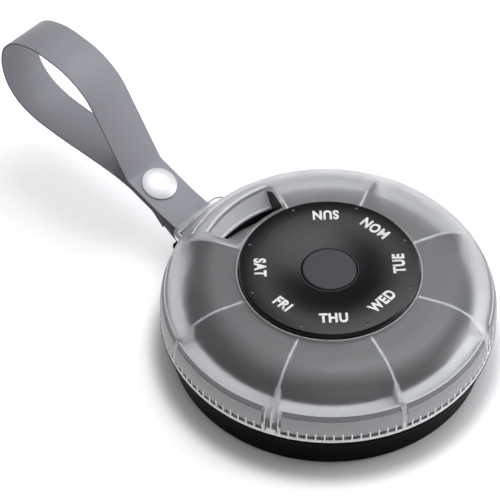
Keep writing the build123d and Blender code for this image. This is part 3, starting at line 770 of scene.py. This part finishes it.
# Strap: one strip of grey coated sheet. It goes round the pin, folds back into the carry loop
# and ends under the rivet, which holds its three layers. Its cut edges are a little darker.
strap_width = 13.2 * mm
strap_thickness = 0.6 * mm
strap_edge = 0.22 * mm
strap_sharp = math.radians(25)
strap_layer_gap = 0.1 * mm
strap_layer = strap_thickness + strap_layer_gap
pin_radius = 2.2 * mm
pin_play = 0.15 * mm
strap_wrap = pin_radius + pin_play + strap_thickness / 2
strap_slope = math.radians(19)
strap_rivet = Vector((16.8, 6.6)) * mm
strap_ease = 0.9 * mm
flat_cap_radius = 3.6 * mm
domed_cap_radius = 5.0 * mm
domed_cap_clear = 0.3 * mm
back_reach = flat_cap_radius + strap_ease
cap_reach = domed_cap_radius + domed_cap_clear + strap_ease
pin_middle = Vector((0, 46.6, 9.8)) * mm
under_run = Vector((6.4, 0.1)) * mm
bend_step = math.radians(5)
bend_least = 4
bend_share = 0.45
pin_share = 0.99
cut_start = (strap_width / 2 - 0.12 * mm, 0.0)
cut_end = (strap_width / 2 - 0.02 * mm, 1.0)
cut_colour = (0.03, 0.03, 0.034)


def layer_point(along, layer):
    """Point on a layer at the rivet: along the strap, and up from the middle layer."""
    run = Vector((math.cos(strap_slope), math.sin(strap_slope)))
    return strap_rivet + along * run + layer * strap_layer * run.orthogonal()


def wrap_corner(point, side):
    """Corner behind the pin, between the run from this point and an upright run."""
    touch = math.atan2(point.y, point.x) + side * math.acos(strap_wrap / point.length)
    middle = (touch + side * math.pi) / 2
    reach = strap_wrap / math.cos(side * math.pi - middle)
    return Vector((reach * math.cos(middle), reach * math.sin(middle)))


pin_corners = [wrap_corner(under_run, -1), wrap_corner(layer_point(-cap_reach, 1), 1)]
rivet_corners = [
    layer_point(back_reach, 0),
    layer_point(-back_reach, 0),
    layer_point(-cap_reach, 1),
    layer_point(cap_reach, 1),
    layer_point(back_reach, -1),
    layer_point(-back_reach, -1),
]
loop_points = (
    (37.2, 31.8),
    (45.4, 36.2),
    (57.9, 37.2),
    (66.2, 34.4),
    (71.0, 29.2),
    (72.0, 22.2),
    (70.4, 15.8),
    (66.0, 11.4),
    (59.4, 9.2),
    (49.4, 8.6),
    (37.4, 8.7),
    (27.4, 8.5),
)
strap_route = [
    Vector((28.0, 10.2)) * mm,
    *rivet_corners[:2],
    under_run,
    *pin_corners,
    *rivet_corners[2:4],
    *(Vector(point) * mm for point in loop_points),
    *rivet_corners[4:],
    Vector((8.9, 0.7)) * mm,
]


def straight_run(mesh, end, shift):
    """Draw the strip's end straight on, and return its new end."""
    return bmesh.ops.spin(
        mesh,
        geom=end,
        cent=(0, 0, 0),
        axis=(1, 0, 0),
        dvec=(0, *shift),
        angle=0,
        steps=1,
    )["geom_last"]


def strap_strip(route):
    """Draw the strap's rounded section along its runs, and turn it round each bend."""
    mesh = bmesh.new()
    bmesh.ops.create_grid(mesh, x_segments=1, y_segments=1, size=0.5)
    bmesh.ops.scale(mesh, verts=mesh.verts, vec=(strap_width, strap_thickness, 1))
    bmesh.ops.bevel(
        mesh,
        geom=mesh.verts,
        offset=strap_edge,
        affect="VERTICES",
        segments=3,
        profile=0.5,
        material=-1,
    )
    first = route[1] - route[0]
    stand = Matrix.Rotation(math.atan2(first.y, first.x) - math.pi / 2, 4, "X")
    start = Matrix.Translation(pin_middle + Vector((0, *route[0])))
    bmesh.ops.transform(mesh, matrix=start @ stand, verts=mesh.verts)
    end = mesh.verts[:] + mesh.edges[:] + mesh.faces[:]
    here = route[0]
    for before, corner, after in zip(route, route[1:], route[2:]):
        run_in = corner - before
        run_out = after - corner
        turn = math.atan2(run_in.cross(run_out), run_in.dot(run_out))
        ease = strap_ease
        if corner not in rivet_corners:
            ease = bend_share * min(run_in.length, run_out.length)
        bend = ease / math.tan(abs(turn) / 2)
        if corner in pin_corners:
            bend = pin_share * strap_wrap
        reach = bend * math.tan(abs(turn) / 2)
        bend_start = corner - reach * run_in.normalized()
        end = straight_run(mesh, end, bend_start - here)
        side = math.copysign(1, turn)
        middle = bend_start + side * bend * run_in.normalized().orthogonal()
        end = bmesh.ops.spin(
            mesh,
            geom=end,
            cent=pin_middle + Vector((0, *middle)),
            axis=(1, 0, 0),
            angle=turn,
            steps=max(bend_least, math.ceil(abs(turn) / bend_step)),
        )["geom_last"]
        here = corner + reach * run_out.normalized()
    straight_run(mesh, end, route[-1] - here)
    bmesh.ops.recalc_face_normals(mesh, faces=mesh.faces)
    for face in mesh.faces:
        face.smooth = True
    return mesh


strap_coating = moulded("strap_grey_coating", (0.295, 0.3, 0.325), 0.48, 0.01 * mm, 0.05)
tree = strap_coating.node_tree
axes = tree.nodes.new("ShaderNodeSeparateXYZ")
tree.links.new(tree.nodes.new("ShaderNodeTexCoord").outputs["Object"], axes.inputs[0])
across = reckon(tree, "ABSOLUTE", axes.outputs["X"])
second_tone(strap_coating, slope(tree, across, cut_start, cut_end), cut_colour)
strap_band = new_piece("strap_band", strap_strip(strap_route))
strap_band.data.set_sharp_from_angle(angle=strap_sharp)
strap_band.data.materials.append(strap_coating)
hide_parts("strap")
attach(strap_band, "strap")

# Rivet: a polished cap over the strap's three layers, with a flat cap pressed on from below.
# Both are nickel-plated steel.
polished = metal("polished_nickel", (0.97, 0.97, 0.98), 0.55, 0.002 * mm)
dress("rivet_cap", polished)
dress("rivet_back", polished)

bpy.context.view_layer.update()
